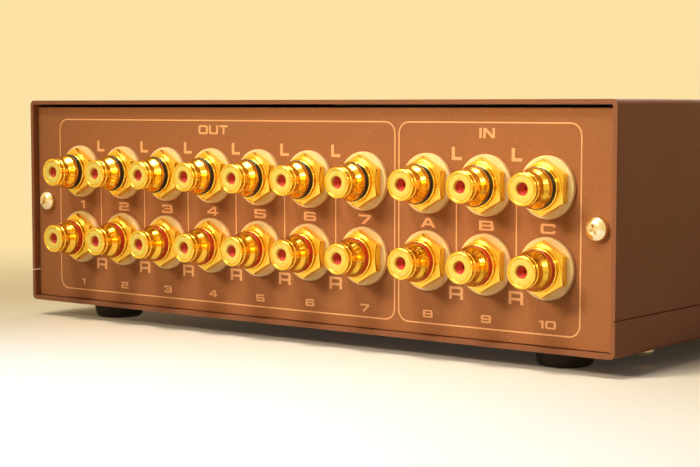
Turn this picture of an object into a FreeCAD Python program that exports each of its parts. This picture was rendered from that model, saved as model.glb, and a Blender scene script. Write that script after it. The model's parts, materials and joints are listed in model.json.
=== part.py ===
import FreeCAD, Part
import math
import os
import Sketcher

# Passive line selector box: three stereo inputs and seven stereo outputs on phono sockets,
# picked by two rotary switches. +Z is up, the knobs face -Y and the sockets face +Y.
# The origin is under the middle of the whole box, on the surface that the feet stand on.

SIZES = {
    # folded steel case
    "case_width": 209.0, "case_height": 62.6, "case_depth": 150.0, "sheet": 1.2,
    "bend_radius": 1.5, "tray_side": 9.2, "seam": 0.3,
    # end panels, sunk inside the rim of the case
    "recess": 1.8, "panel_thick": 1.5, "panel_top_gap": 0.9, "front_top_gap": 0.02,
    "panel_low_gap": 0.3,
    "panel_side_gap": 0.4,
    # stuck-on rubber feet
    "foot_radius": 8.0, "foot_waist": 7.2, "foot_height": 5.0, "foot_edge": 0.8,
    "foot_inset": 23.0, "foot_back": 15.5,
    # corner brackets
    "bracket_sheet": 1.5, "bracket_face": 11.0, "bracket_run": 30.0, "bracket_height": 50.0,
    "bracket_foot": 9.0, "bracket_foot_start": 12.0,
    # M3 pan head screws
    "screw_radius": 1.5, "screw_clearance": 0.15, "screw_head": 3.1, "head_height": 2.1,
    "head_crown": 0.7, "screw_length": 6.0, "screw_inset": 5.9, "under_inset": 5.6,
    "under_back": 24.0,
    # socket grid, seen from behind: margins at the right and left edges, and what the gaps
    # between the two groups and after the seventh output have beyond the even pitch
    "row_low": 20.8, "row_pitch": 20.1, "right_margin": 20.0, "left_margin": 21.5,
    "group_extra": 2.6, "seventh_extra": 0.9,
    # phono socket: distances run outwards from the face of the panel
    "socket_reach": 12.5, "barrel_radius": 4.15, "barrel_length": 3.3, "flare_length": 2.0,
    "collar_radius": 5.1, "ring_radius": 5.3, "ring_thick": 1.2, "neck_radius": 4.4,
    "boss_radius": 5.5, "boss_length": 1.4, "flange_across": 12.3, "flange_front": 3.6,
    "washer_thick": 1.2, "washer_radius": 7.9,
    "shoulder_radius": 4.5, "shoulder_length": 1.3, "hole_clearance": 0.1,
    "sleeve_radius": 3.9, "sleeve_clearance": 0.05, "sleeve_back": 7.0,
    "bore_radius": 3.3, "pin_radius": 1.65, "pin_depth": 9.5, "insert_fit": 0.02,
    "insert_set": 0.2, "contact_radius": 2.1, "contact_set": 0.9, "tail_radius": 1.1,
    "tail_length": 5.0, "inner_washer_radius": 6.2, "inner_washer_thick": 0.8,
    "nut_across": 11.0, "nut_thick": 2.2, "tag_radius": 5.6, "tag_thick": 0.5,
    "tag_width": 3.0, "tag_reach": 9.8,
    # rotary switches
    "switch_height": 31.3, "switch_spread": 48.0, "shaft_radius": 3.0, "shaft_fit": 0.05,
    "shaft_tail": 2.0, "bushing_radius": 4.5, "bushing_length": 7.0, "bushing_fit": 0.15,
    "can_radius": 13.0, "can_length": 8.5, "key_radius": 1.2, "key_offset": 9.0,
    "wafer_radius": 14.0, "wafer_thick": 1.6, "wafer_pitch": 8.0, "wafer_bore": 6.4,
    "rotor_radius": 6.1, "rotor_thick": 2.2, "stud_radius": 1.1, "stud_circle": 11.3,
    "stud_head": 1.9, "stud_head_thick": 1.4, "stud_angle": 15.0, "way_angle": 30.0,
    "clip_inner": 7.2, "clip_long": 9.5, "clip_wide": 1.4, "clip_thick": 0.5,
    "switch_nut_across": 12.0, "switch_nut_thick": 2.0, "lock_washer_radius": 6.5,
    "lock_washer_thick": 0.6,
    # turned knobs
    "knob_radius": 15.0, "knob_length": 16.0, "knob_gap": 1.0, "knob_skirt": 0.8,
    "knob_face_chamfer": 1.0, "knob_well_radius": 8.5, "knob_well_depth": 5.0,
    "knob_bore_depth": 13.0, "set_screw_radius": 1.5, "set_screw_length": 9.0,
    "set_screw_back": 8.5, "pointer_width": 1.2, "pointer_length": 7.0, "pointer_depth": 0.4,
    # wiring
    "bus_radius": 0.6, "loom_radius": 2.0, "loom_bend": 6.0, "loom_gap": 0.1, "link_radius": 1.2,
    "link_drop": 12.0,
}

doc = FreeCAD.newDocument("SelectorBox")
sheet = doc.addObject("Spreadsheet::Sheet", "sizes")
for line, (alias, value) in enumerate(SIZES.items(), start=1):
    sheet.set("A%d" % line, alias)
    sheet.set("B%d" % line, str(value))
    sheet.setAlias("B%d" % line, alias)
doc.recompute()

subparts = []


def size(alias):
    return float(getattr(sheet, alias))


# Places that several pieces share, first as sheet formulas and then as numbers.
CASE_Y = "(sizes.knob_gap + sizes.knob_length - sizes.socket_reach) / 2"
REAR_FACE = "(%s + sizes.case_depth / 2 - sizes.recess)" % CASE_Y
FRONT_FACE = "(%s - sizes.case_depth / 2 + sizes.recess)" % CASE_Y
BASE = "sizes.foot_height"
SIDE_WALL = "(sizes.case_width / 2 - sizes.sheet)"
PANEL_INNER = "(sizes.case_depth / 2 - sizes.recess - sizes.panel_thick)"
PANEL_LOW = "(sizes.sheet + sizes.panel_low_gap)"
PANEL_TOP = "(sizes.case_height - sizes.sheet - sizes.panel_top_gap)"
FRONT_TOP = "(sizes.case_height - sizes.sheet - sizes.front_top_gap)"
SCREW_X = "(sizes.case_width / 2 - sizes.screw_inset)"
SCREW_Z = "(sizes.case_height / 2)"
UNDER_X = "(sizes.case_width / 2 - sizes.under_inset)"
UNDER_Y = "(sizes.case_depth / 2 - sizes.under_back)"

case_y = (size("knob_gap") + size("knob_length") - size("socket_reach")) / 2
rear_face = case_y + size("case_depth") / 2 - size("recess")
front_face = case_y - size("case_depth") / 2 + size("recess")
base = size("foot_height")
rows = {"right": size("row_low"), "left": size("row_low") + size("row_pitch")}


def column_formulas():
    """Place of each column of sockets across the box: three inputs, then outputs seven to one."""
    pitch = "(sizes.case_width - sizes.right_margin - sizes.left_margin - sizes.group_extra"
    pitch += " - sizes.seventh_extra) / 9"
    columns = ["sizes.right_margin - sizes.case_width / 2 + %d * %s" % (step, pitch) for step in range(10)]
    columns[3:] = [column + " + sizes.group_extra" for column in columns[3:]]
    columns[4:] = [column + " + sizes.seventh_extra" for column in columns[4:]]
    return columns


def column_places():
    """The same places as numbers, inputs and outputs apart."""
    extra, seventh = size("group_extra"), size("seventh_extra")
    room = size("case_width") - size("right_margin") - size("left_margin") - extra - seventh
    first = size("right_margin") - size("case_width") / 2
    columns = [first + step * room / 9 for step in range(10)]
    columns[3:] = [column + extra for column in columns[3:]]
    columns[4:] = [column + seventh for column in columns[4:]]
    return columns[:3], columns[3:]


# Small tools for sketches and features.

def bind(item, links):
    for target, formula in links.items():
        item.setExpression(target, formula)


def new_body(name):
    body = doc.addObject("PartDesign::Body", name)
    body.Label = name
    return body


def finish(item):
    subparts.append(item)
    return item


def sketch_on(body, role, name):
    plane = [feature for feature in body.Origin.OriginFeatures if feature.Role == role][0]
    sketch = body.newObject("Sketcher::SketchObject", name)
    sketch.AttachmentSupport = [(plane, "")]
    sketch.MapMode = "FlatFace"
    return sketch


def pin_point(sketch, geometry, vertex, across, up):
    for kind, formula in (("DistanceX", across), ("DistanceY", up)):
        number = sketch.addConstraint(Sketcher.Constraint(kind, -1, 1, geometry, vertex, 1.0))
        sketch.setExpression("Constraints[%d]" % number, formula)


def draw_outline(sketch, corners):
    count = len(corners)
    spots = [FreeCAD.Vector(math.cos(math.tau * n / count), math.sin(math.tau * n / count), 0)
             for n in range(count)]
    first = sketch.GeometryCount
    for n in range(count):
        sketch.addGeometry(Part.LineSegment(spots[n], spots[(n + 1) % count]))
    for n in range(count):
        sketch.addConstraint(Sketcher.Constraint("Coincident", first + n, 2, first + (n + 1) % count, 1))
    for n, (across, up) in enumerate(corners):
        pin_point(sketch, first + n, 1, across, up)


def draw_circles(sketch, centres, radius):
    for across, up in centres:
        circle = Part.Circle(FreeCAD.Vector(1, 1, 0), FreeCAD.Vector(0, 0, 1), 1.0)
        number = sketch.addGeometry(circle)
        pin_point(sketch, number, 3, across, up)
        ring = sketch.addConstraint(Sketcher.Constraint("Radius", number, 1.0))
        sketch.setExpression("Constraints[%d]" % ring, radius)


def pad(body, sketch, name, length, both_ways=False, other_way=False):
    feature = body.newObject("PartDesign::Pad", name)
    feature.Profile = sketch
    feature.setExpression("Length", length)
    feature.Midplane = both_ways
    feature.Reversed = other_way
    doc.recompute()
    return feature


def cut_through(body, sketch, name):
    before = body.Shape.Volume
    feature = body.newObject("PartDesign::Pocket", name)
    feature.Profile = sketch
    feature.Type = "ThroughAll"
    feature.Midplane = True
    doc.recompute()
    if body.Shape.Volume > before - 0.01:
        raise RuntimeError(name + " cuts nothing")
    return feature


def spin(body, sketch, name):
    feature = body.newObject("PartDesign::Revolution", name)
    feature.Profile = sketch
    feature.ReferenceAxis = (sketch, ["V_Axis"])
    feature.Angle = 360
    doc.recompute()
    return feature


def round_edges(body, name, radius, chosen):
    """Fillet the edges of the body that the test picks."""
    below = body.Tip
    names = ["Edge%d" % (n + 1) for n, edge in enumerate(below.Shape.Edges) if chosen(edge)]
    feature = body.newObject("PartDesign::Fillet", name)
    feature.Base = (below, names)
    feature.setExpression("Radius", radius)
    doc.recompute()
    return feature


def edge_at(x=None, z=None):
    """Test for straight edges along the depth at a given |x| and z."""
    def chosen(edge):
        box = edge.BoundBox
        if box.XLength > 0.001 or box.ZLength > 0.001:
            return False
        return abs(abs(box.Center.x) - x) < 0.001 and abs(box.Center.z - z) < 0.001
    return chosen


def solid_group(name, shapes):
    item = doc.addObject("Part::Feature", name)
    item.Label = name
    item.Shape = Part.makeCompound(shapes)
    return finish(item)


def turned(stations):
    """Closed solid of revolution about +Y from (radius, y) corners."""
    corners = [FreeCAD.Vector(radius, y, 0) for radius, y in stations]
    face = Part.Face(Part.makePolygon(corners + corners[:1]))
    return face.revolve(FreeCAD.Vector(0, 0, 0), FreeCAD.Vector(0, 1, 0), 360)


def hex_prism(across, low, high, turn=0.0):
    """Hexagon about +Y between two y values, with a corner straight up when turn is 0."""
    reach = across / math.sqrt(3)
    corners = []
    for n in range(7):
        angle = math.radians(60 * n + 90 + turn)
        corners.append(FreeCAD.Vector(reach * math.cos(angle), low, reach * math.sin(angle)))
    return Part.Face(Part.makePolygon(corners)).extrude(FreeCAD.Vector(0, high - low, 0))


def bored(shape, radius, x=0.0, z=0.0):
    """Cut a hole along Y, right through the shape."""
    box = shape.BoundBox
    tool = Part.makeCylinder(radius, box.YLength, FreeCAD.Vector(x, box.YMin, z), FreeCAD.Vector(0, 1, 0))
    return shape.cut(tool)


def moved(shape, x, y, z):
    copy = shape.copy()
    copy.translate(FreeCAD.Vector(x, y, z))
    return copy


def facing_front(shape):
    """Turn a shape that points to +Y so that it points to -Y."""
    copy = shape.copy()
    copy.rotate(FreeCAD.Vector(0, 0, 0), FreeCAD.Vector(0, 0, 1), 180)
    return copy


# Case

def make_bottom_tray():
    body = new_body("bottom_tray")
    bind(body, {"Placement.Base.y": CASE_Y, "Placement.Base.z": BASE})
    profile = sketch_on(body, "XZ_Plane", "tray_profile")
    wide, inner = "sizes.case_width / 2", SIDE_WALL
    draw_outline(profile, [
        ("-" + wide, "0"), (wide, "0"), (wide, "sizes.tray_side"), (inner, "sizes.tray_side"),
        (inner, "sizes.sheet"), ("-" + inner, "sizes.sheet"), ("-" + inner, "sizes.tray_side"),
        ("-" + wide, "sizes.tray_side")])
    pad(body, profile, "tray_fold", "sizes.case_depth", both_ways=True)
    round_edges(body, "tray_bends", "sizes.bend_radius", edge_at(size("case_width") / 2, 0))
    holes = sketch_on(body, "XY_Plane", "tray_holes")
    places = [(sx + UNDER_X, sy + UNDER_Y) for sx in ("-", "") for sy in ("-", "")]
    draw_circles(holes, places, "sizes.screw_radius + sizes.screw_clearance")
    cut_through(body, holes, "tray_screw_holes")
    return finish(body)


def make_top_cover():
    body = new_body("top_cover")
    bind(body, {"Placement.Base.y": CASE_Y, "Placement.Base.z": BASE})
    profile = sketch_on(body, "XZ_Plane", "cover_profile")
    wide, inner = "sizes.case_width / 2", SIDE_WALL
    low, top = "sizes.tray_side + sizes.seam", "sizes.case_height"
    under = "sizes.case_height - sizes.sheet"
    draw_outline(profile, [
        ("-" + wide, low), ("-" + wide, top), (wide, top), (wide, low), (inner, low),
        (inner, under), ("-" + inner, under), ("-" + inner, low)])
    pad(body, profile, "cover_fold", "sizes.case_depth", both_ways=True)
    round_edges(body, "cover_bends", "sizes.bend_radius",
                edge_at(size("case_width") / 2, size("case_height")))
    round_edges(body, "cover_inner_bends", "sizes.bend_radius - sizes.sheet",
                edge_at(size("case_width") / 2 - size("sheet"), size("case_height") - size("sheet")))
    return finish(body)


def make_panel(name, face, inwards, top, holes):
    """A flat end panel; holes is a list of (places, radius) groups."""
    body = new_body(name)
    bind(body, {"Placement.Base.y": face, "Placement.Base.z": BASE})
    outline = sketch_on(body, "XZ_Plane", name + "_outline")
    edge = "(%s - sizes.panel_side_gap)" % SIDE_WALL
    draw_outline(outline, [("-" + edge, PANEL_LOW), (edge, PANEL_LOW), (edge, top),
                           ("-" + edge, top)])
    pad(body, outline, name + "_plate", "sizes.panel_thick", other_way=inwards > 0)
    for number, (places, radius) in enumerate(holes):
        sketch = sketch_on(body, "XZ_Plane", "%s_holes_%d" % (name, number))
        draw_circles(sketch, places, radius)
        cut_through(body, sketch, "%s_cut_%d" % (name, number))
    return finish(body)


def make_panels():
    screws = [("-" + SCREW_X, SCREW_Z), (SCREW_X, SCREW_Z)]
    sockets = []
    for column in column_formulas():
        sockets += [(column, "sizes.row_low"), (column, "sizes.row_low + sizes.row_pitch")]
    screw_hole = "sizes.screw_radius + sizes.screw_clearance"
    socket_hole = "sizes.shoulder_radius + sizes.hole_clearance"
    make_panel("rear_panel", REAR_FACE, -1, PANEL_TOP, [(screws, screw_hole), (sockets, socket_hole)])
    shafts = [(sign + "sizes.switch_spread", "sizes.switch_height") for sign in ("-", "")]
    keys = [(sign + "sizes.switch_spread", "sizes.switch_height + sizes.key_offset")
            for sign in ("-", "")]
    make_panel("front_panel", FRONT_FACE, 1, FRONT_TOP, [
        (screws, screw_hole), (shafts, "sizes.bushing_radius + sizes.bushing_fit"),
        (keys, "sizes.key_radius + sizes.bushing_fit")])


def make_bracket(name, side, end):
    """Folded angle: one leg behind the panel, one along the side wall, one foot on the floor."""
    body = new_body(name)
    bind(body, {"Placement.Base.y": CASE_Y, "Placement.Base.z": BASE})
    sx, sy = ("" if side > 0 else "-"), ("" if end > 0 else "-")

    def spot(in_from_side, in_from_panel):
        return ("%s(%s - %s)" % (sx, SIDE_WALL, in_from_side),
                "%s(%s - %s)" % (sy, PANEL_INNER, in_from_panel))

    thick, face = "sizes.bracket_sheet", "sizes.bracket_face"
    run, foot = "sizes.bracket_run", "sizes.bracket_foot"
    fold = sketch_on(body, "XY_Plane", name + "_fold")
    draw_outline(fold, [spot("0", "0"), spot(face, "0"), spot(face, thick), spot(thick, thick),
                        spot(thick, run), spot("0", run)])
    bind(fold, {"AttachmentOffset.Base.z": "sizes.sheet"})
    pad(body, fold, name + "_legs", "sizes.bracket_height")
    toe = sketch_on(body, "XY_Plane", name + "_toe")
    start = "sizes.bracket_foot_start"
    draw_outline(toe, [spot("0", start), spot(foot, start), spot(foot, run), spot("0", run)])
    bind(toe, {"AttachmentOffset.Base.z": "sizes.sheet"})
    pad(body, toe, name + "_foot", thick)
    holes = sketch_on(body, "XY_Plane", name + "_foot_hole")
    draw_circles(holes, [(sx + UNDER_X, sy + UNDER_Y)], "sizes.screw_radius")
    cut_through(body, holes, name + "_foot_tap")
    holes = sketch_on(body, "XZ_Plane", name + "_face_hole")
    draw_circles(holes, [(sx + SCREW_X, SCREW_Z)], "sizes.screw_radius")
    cut_through(body, holes, name + "_face_tap")
    return finish(body)


def make_foot(name, side, end):
    body = new_body(name)
    place = {"Placement.Base.x": "%d * (sizes.case_width / 2 - sizes.foot_inset)" % side,
             "Placement.Base.y": "%s + %d * (sizes.case_depth / 2 - sizes.foot_back)" % (CASE_Y, end)}
    bind(body, place)
    profile = sketch_on(body, "XZ_Plane", name + "_profile")
    draw_outline(profile, [
        ("0", "0"), ("sizes.foot_waist - sizes.foot_edge", "0"), ("sizes.foot_waist", "sizes.foot_edge"),
        ("sizes.foot_radius", "sizes.foot_height"), ("0", "sizes.foot_height")])
    spin(body, profile, name + "_turn")
    return finish(body)


def pan_screw():
    """Pan head screw pointing its head to +Y, with the underside of the head at y = 0."""
    head, height = size("screw_head"), size("head_height")
    return turned([(0, -size("screw_length")), (size("screw_radius"), -size("screw_length")),
                   (size("screw_radius"), 0), (head, 0), (head, height - size("head_crown")),
                   (head - size("head_crown"), height), (0, height)])


def make_screws():
    screw = pan_screw()
    x = size("case_width") / 2 - size("screw_inset")
    z = base + size("case_height") / 2
    solid_group("rear_panel_screws", [moved(screw, side * x, rear_face, z) for side in (-1, 1)])
    front = facing_front(screw)
    solid_group("front_panel_screws", [moved(front, side * x, front_face, z) for side in (-1, 1)])
    under = screw.copy()
    under.rotate(FreeCAD.Vector(0, 0, 0), FreeCAD.Vector(1, 0, 0), -90)
    x = size("case_width") / 2 - size("under_inset")
    y = size("case_depth") / 2 - size("under_back")
    solid_group("underside_screws", [moved(under, sx * x, case_y + sy * y, base)
                                     for sx in (-1, 1) for sy in (-1, 1)])


# Phono sockets, drawn once about +Y with the face of the panel at y = 0

def socket_shell():
    tip = size("socket_reach")
    flare_end = tip - size("barrel_length") - size("flare_length")
    boss, boss_front = size("boss_radius"), size("flange_front") + size("boss_length")
    ring_front = boss_front + size("ring_thick")
    back = size("panel_thick") + size("sleeve_back")
    barrel, collar, neck = size("barrel_radius"), size("collar_radius"), size("neck_radius")
    bore, sleeve = size("bore_radius"), size("sleeve_radius")
    inside_flange = (size("washer_thick") + size("flange_front")) / 2
    body = turned([(bore, tip), (barrel, tip), (barrel, tip - size("barrel_length")),
                   (collar, flare_end), (collar, ring_front), (neck, ring_front),
                   (neck, boss_front), (boss, boss_front), (boss, inside_flange),
                   (sleeve, inside_flange), (sleeve, -back), (bore, -back)])
    flange = hex_prism(size("flange_across"), size("washer_thick"), size("flange_front"))
    return body.fuse(bored(flange, bore)).removeSplitter()


def socket_insulator():
    front = size("socket_reach") - size("insert_set")
    back = -(size("panel_thick") + size("sleeve_back"))
    outer = size("bore_radius") - size("insert_fit")
    contact = size("contact_radius")
    contact_front = front - size("contact_set")
    return turned([(size("pin_radius"), front), (outer, front), (outer, back), (contact, back),
                   (contact, contact_front), (size("pin_radius"), contact_front)])


def socket_contact():
    front = size("socket_reach") - size("insert_set") - size("contact_set")
    bottom = front - size("pin_depth")
    back = -(size("panel_thick") + size("sleeve_back"))
    outer = size("contact_radius") - size("insert_fit")
    tail = size("tail_radius")
    return turned([(size("pin_radius"), front), (outer, front), (outer, back), (tail, back),
                   (tail, back - size("tail_length")), (0, back - size("tail_length")),
                   (0, bottom), (size("pin_radius"), bottom)])


def flat_ring(inner, outer, low, high):
    return turned([(inner, low), (outer, low), (outer, high), (inner, high)])


def socket_tag(low):
    """Ground tag: a flat ring with one tongue for the ground wire, pointing up."""
    ring = flat_ring(size("sleeve_radius") + size("sleeve_clearance"), size("tag_radius"),
                     low, low + size("tag_thick"))
    root = (size("sleeve_radius") + size("tag_radius")) / 2
    tongue = Part.makeBox(size("tag_width"), size("tag_thick"), size("tag_reach") - root,
                          FreeCAD.Vector(-size("tag_width") / 2, low, root))
    return ring.fuse(tongue).removeSplitter()


def make_sockets():
    inputs, outputs = column_places()
    hole = size("sleeve_radius") + size("sleeve_clearance")
    inner_face = -size("panel_thick")
    behind_washer = inner_face - size("inner_washer_thick")
    behind_tag = behind_washer - size("tag_thick")
    nut = hex_prism(size("nut_across"), behind_tag - size("nut_thick"), behind_tag, turn=30)
    nut = bored(nut, hole)
    ring_low = size("flange_front") + size("boss_length")
    ring = flat_ring(size("neck_radius") + size("insert_fit"), size("ring_radius"),
                     ring_low, ring_low + size("ring_thick"))
    outer_washer = turned([(hole, size("washer_thick")), (size("washer_radius"), size("washer_thick")),
                           (size("washer_radius"), 0), (size("shoulder_radius"), 0),
                           (size("shoulder_radius"), -size("shoulder_length")),
                           (hole, -size("shoulder_length"))])
    inner_washer = flat_ring(hole, size("inner_washer_radius"), behind_washer, inner_face)
    shell, tag = socket_shell(), socket_tag(behind_tag)

    def group(name, shape, columns, channels):
        solid_group(name, [moved(shape, x, rear_face, base + rows[channel])
                           for x in columns for channel in channels])

    for channel in ("left", "right"):
        group("output_shells_" + channel, shell, outputs, [channel])
        group("input_shells_" + channel, shell, inputs, [channel])
    both, every = ("left", "right"), inputs + outputs
    group("black_rings", ring, every, ["left"])
    group("red_rings", ring, every, ["right"])
    group("socket_insulators", socket_insulator(), every, both)
    group("centre_contacts", socket_contact(), every, both)
    group("outer_washers", outer_washer, every, both)
    group("inner_washers", inner_washer, every, both)
    group("ground_tags", tag, every, both)
    group("socket_nuts", nut, every, both)


# Rotary switches, drawn once about +Y with the back of the front panel at y = 0.
# Here +Y runs into the box, away from the knob.

def switch_can():
    """Index housing with its threaded bushing and the key that stops it from turning."""
    bore = size("shaft_radius") + size("shaft_fit")
    bush, can = size("bushing_radius"), size("can_radius")
    body = turned([(bore, -size("bushing_length")), (bush, -size("bushing_length")), (bush, 0),
                   (can, 0), (can, size("can_length")), (bore, size("can_length"))])
    key = Part.makeCylinder(size("key_radius"), size("panel_thick"),
                            FreeCAD.Vector(0, -size("panel_thick"), size("key_offset")),
                            FreeCAD.Vector(0, 1, 0))
    return body.fuse(key).removeSplitter()


def wafer_face(number):
    """Front face of wafer number 0, 1 ... measured from the back of the panel."""
    return size("can_length") + (number + 1) * size("wafer_pitch") - size("wafer_thick")


def stud_spots():
    """Two studs opposite each other, between the terminal clips."""
    turn = math.radians(-size("stud_angle"))
    spot = FreeCAD.Vector(size("stud_circle") * math.cos(turn), 0, size("stud_circle") * math.sin(turn))
    return [spot, -spot]


def switch_wafer(number):
    low = wafer_face(number)
    shape = flat_ring(size("wafer_bore"), size("wafer_radius"), low, low + size("wafer_thick"))
    for spot in stud_spots():
        shape = bored(shape, size("stud_radius"), spot.x, spot.z)
    return shape


def switch_clips(number, ways):
    """Terminal clips riveted on the back of the wafer, one for each way and one common."""
    low = wafer_face(number) + size("wafer_thick")
    clip = Part.makeBox(size("clip_long"), size("clip_thick"), size("clip_wide"),
                        FreeCAD.Vector(size("clip_inner"), low, -size("clip_wide") / 2))
    shapes = []
    for way in range(ways + 1):
        copy = clip.copy()
        angle = 90 + (way - (ways - 1) / 2) * size("way_angle") if way < ways else 270
        copy.rotate(FreeCAD.Vector(0, 0, 0), FreeCAD.Vector(0, 1, 0), -angle)
        shapes.append(copy)
    return shapes


def switch_stud(wafers):
    """Long screw that clamps the wafers to the can."""
    start = size("can_length")
    end = wafer_face(wafers - 1) + size("wafer_thick")
    stud = turned([(0, start), (size("stud_radius"), start), (size("stud_radius"), end),
                   (size("stud_head"), end), (size("stud_head"), end + size("stud_head_thick")),
                   (0, end + size("stud_head_thick"))])
    return [moved(stud, spot.x, 0, spot.z) for spot in stud_spots()]


def switch_spacers(wafers):
    """Tubes on the studs between the can and each wafer."""
    shapes = []
    for number in range(wafers):
        low = size("can_length") if number == 0 else wafer_face(number - 1) + size("wafer_thick")
        tube = flat_ring(size("stud_radius") + size("insert_fit"), size("stud_head"), low,
                         wafer_face(number))
        shapes += [moved(tube, spot.x, 0, spot.z) for spot in stud_spots()]
    return shapes


def knob_back():
    """Back face of the knob, measured like the switch."""
    return -size("panel_thick") - size("knob_gap")


def switch_shaft(wafers):
    start = knob_back() - size("knob_bore_depth")
    end = wafer_face(wafers - 1) + size("wafer_thick") + size("shaft_tail")
    return Part.makeCylinder(size("shaft_radius"), end - start, FreeCAD.Vector(0, start, 0),
                             FreeCAD.Vector(0, 1, 0))


def switch_rotor(number):
    middle = wafer_face(number) + size("wafer_thick") / 2
    half = size("rotor_thick") / 2
    return flat_ring(size("shaft_radius") + size("insert_fit"), size("rotor_radius"),
                     middle - half, middle + half)


def knob_shape():
    back = knob_back()
    front = back - size("knob_length")
    radius, chamfer = size("knob_radius"), size("knob_face_chamfer")
    well, skirt = size("knob_well_radius"), size("knob_skirt")
    bore = size("shaft_radius") + size("insert_fit")
    body = turned([(0, front), (radius - chamfer, front), (radius, front + chamfer),
                   (radius, back - skirt), (radius - skirt, back), (well, back),
                   (well, back - size("knob_well_depth")), (bore, back - size("knob_well_depth")),
                   (bore, back - size("knob_bore_depth")), (0, back - size("knob_bore_depth"))])
    y = back - size("set_screw_back")
    hole = Part.makeCylinder(size("set_screw_radius"), radius, FreeCAD.Vector(0, y, 0),
                             FreeCAD.Vector(0, 0, -1))
    pointer = Part.makeBox(size("pointer_width"), size("pointer_depth"), size("pointer_length"),
                           FreeCAD.Vector(-size("pointer_width") / 2, front,
                                          radius - chamfer - size("pointer_length")))
    return body.cut(hole).cut(pointer)


def knob_set_screw():
    y = knob_back() - size("set_screw_back")
    start = -size("shaft_radius")
    return Part.makeCylinder(size("set_screw_radius") - size("insert_fit"), size("set_screw_length"),
                             FreeCAD.Vector(0, y, start), FreeCAD.Vector(0, 0, -1))


def make_switch(name, side, wafers, ways):
    x, y, z = side * size("switch_spread"), front_face + size("panel_thick"), base + size("switch_height")

    def place(label, shapes):
        solid_group(name + "_" + label, [moved(shape, x, y, z) for shape in shapes])

    outside = -size("panel_thick")
    washer_low = outside - size("lock_washer_thick")
    hole = size("bushing_radius") + size("sleeve_clearance")
    nut = hex_prism(size("switch_nut_across"), washer_low - size("switch_nut_thick"), washer_low)
    place("switch_housing", [switch_can()])
    place("lock_washer", [flat_ring(hole, size("lock_washer_radius"), washer_low, outside)])
    place("bushing_nut", [bored(nut, hole)])
    place("wafers", [switch_wafer(number) for number in range(wafers)])
    clips = []
    for number in range(wafers):
        clips += switch_clips(number, ways)
    place("terminal_clips", clips)
    place("studs", switch_stud(wafers))
    place("spacers", switch_spacers(wafers))
    place("shaft", [switch_shaft(wafers)])
    place("rotors", [switch_rotor(number) for number in range(wafers)])
    place("knob", [knob_shape()])
    place("set_screw", [knob_set_screw()])


# Wiring

def bent_cable(corners, radius, bend):
    """Round cable along straight runs in the YZ plane, with equal bends between them."""
    edges, start = [], corners[0]
    for before, corner, after in zip(corners, corners[1:], corners[2:]):
        back = (before - corner).normalize()
        ahead = (after - corner).normalize()
        enter, leave = corner + back * bend, corner + ahead * bend
        middle = corner + (back + ahead) * bend * (1 - math.sqrt(0.5))
        edges += [Part.makeLine(start, enter), Part.Arc(enter, middle, leave).toShape()]
        start = leave
    edges.append(Part.makeLine(start, corners[-1]))
    ring = Part.Wire(Part.makeCircle(radius, corners[0], corners[1] - corners[0]))
    return Part.Wire(edges).makePipeShell([ring], True, False)


def clip_back(number):
    """Depth of the back of a wafer's terminal clips inside the box."""
    return front_face + size("panel_thick") + wafer_face(number) + size("wafer_thick") + size("clip_thick")


def make_loom(name, column, switch_x):
    """Cable from the contact tail of one lower socket, over the floor, up to a common clip."""
    radius = size("loom_radius")
    tail_back = rear_face - size("panel_thick") - size("sleeve_back")
    rear_y = tail_back - size("tail_length") / 2
    front_y = clip_back(0) - size("clip_thick") / 2
    floor_z = base + size("sheet") + radius
    rear_top = base + size("row_low") - size("tail_radius") - size("loom_gap")
    clip_tip = size("clip_inner") + size("clip_long")
    front_top = base + size("switch_height") - clip_tip - size("loom_gap")
    corners = [FreeCAD.Vector(*place) for place in (
        (column, rear_y, rear_top), (column, rear_y, floor_z), (switch_x, front_y, floor_z),
        (switch_x, front_y, front_top))]
    solid_group(name, [bent_cable(corners, radius, size("loom_bend"))])


def make_wiring():
    inputs, outputs = column_places()
    spread, radius = size("switch_spread"), size("link_radius")
    make_loom("input_loom", inputs[2], -spread)
    make_loom("output_loom", outputs[4], spread)
    start = FreeCAD.Vector(-spread, clip_back(0) + radius, base + size("switch_height") - size("link_drop"))
    link = Part.makeCylinder(radius, 2 * spread, start, FreeCAD.Vector(1, 0, 0))
    solid_group("switch_link", [link])
    behind_tag = rear_face - size("panel_thick") - size("inner_washer_thick") - size("tag_thick")
    lift = size("tag_reach") - size("bus_radius")
    wires = []
    for row in rows.values():
        start = FreeCAD.Vector(inputs[0], behind_tag - size("bus_radius"), base + row + lift)
        wires.append(Part.makeCylinder(size("bus_radius"), outputs[-1] - inputs[0], start,
                                       FreeCAD.Vector(1, 0, 0)))
    solid_group("ground_bus", wires)


def check_and_write():
    doc.recompute()
    os.makedirs("parts", exist_ok=True)
    faulty = [item.Name for item in doc.Objects
              if "Invalid" in item.State or "Error" in item.State]
    if faulty:
        raise RuntimeError("failed: " + ", ".join(faulty))
    for item in subparts:
        if item.Shape.isNull() or not item.Shape.isValid():
            raise RuntimeError(item.Label + " has no valid shape")
        item.Shape.exportStep("parts/%s.step" % item.Label)
    box = Part.makeCompound([item.Shape for item in subparts]).BoundBox
    print("sub-parts %d, solids %d" % (len(subparts), sum(len(item.Shape.Solids) for item in subparts)))
    print("box x %.2f..%.2f y %.2f..%.2f z %.2f..%.2f"
          % (box.XMin, box.XMax, box.YMin, box.YMax, box.ZMin, box.ZMax))


make_bottom_tray()
make_top_cover()
make_panels()
for end_name, end in (("rear", 1), ("front", -1)):
    for side_name, side in (("left", 1), ("right", -1)):
        make_bracket("%s_bracket_%s" % (end_name, side_name), side, end)
        make_foot("%s_foot_%s" % (end_name, side_name), side, end)
make_screws()
make_sockets()
make_switch("input", -1, 1, 3)
make_switch("output", 1, 2, 7)
make_wiring()
check_and_write()
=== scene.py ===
import json
import math

import bmesh
import bpy
from mathutils import Matrix, Vector


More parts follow.
